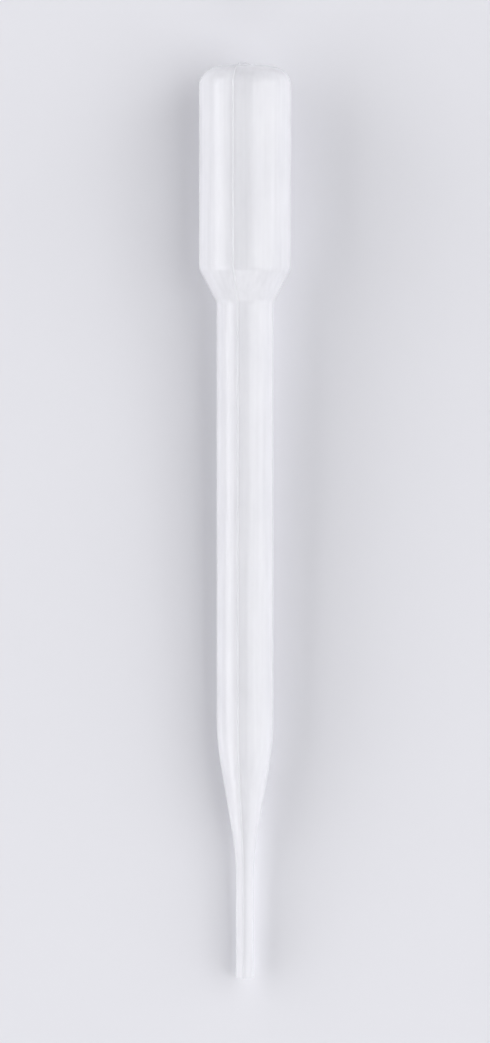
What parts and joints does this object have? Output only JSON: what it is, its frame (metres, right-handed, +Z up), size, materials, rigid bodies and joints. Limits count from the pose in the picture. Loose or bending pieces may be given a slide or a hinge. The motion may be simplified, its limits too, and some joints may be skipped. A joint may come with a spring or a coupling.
{
  "type": "dropper pipette",
  "caption": "One-piece translucent plastic dropper: a squeeze bulb with a domed end, a straight stem and a tapered open tip.",
  "frame": {"origin": "centre of the footprint of the pipette as it lies at rest, on the surface it lies on", "axes": "+Y along the pipette from tip to bulb, +Z up from the surface, +X to the right when seen from above with the bulb away from the viewer; the pipette's own axis rises 2.2 degrees towards the bulb"},
  "size_m": [0.0136, 0.1352, 0.0146],
  "materials": {
    "translucent_plastic": "satin, milky and translucent, as low-density polyethylene"
  },
  "bodies": {
    "root": {"pipette": "translucent_plastic"}
  },
  "joints": []
}
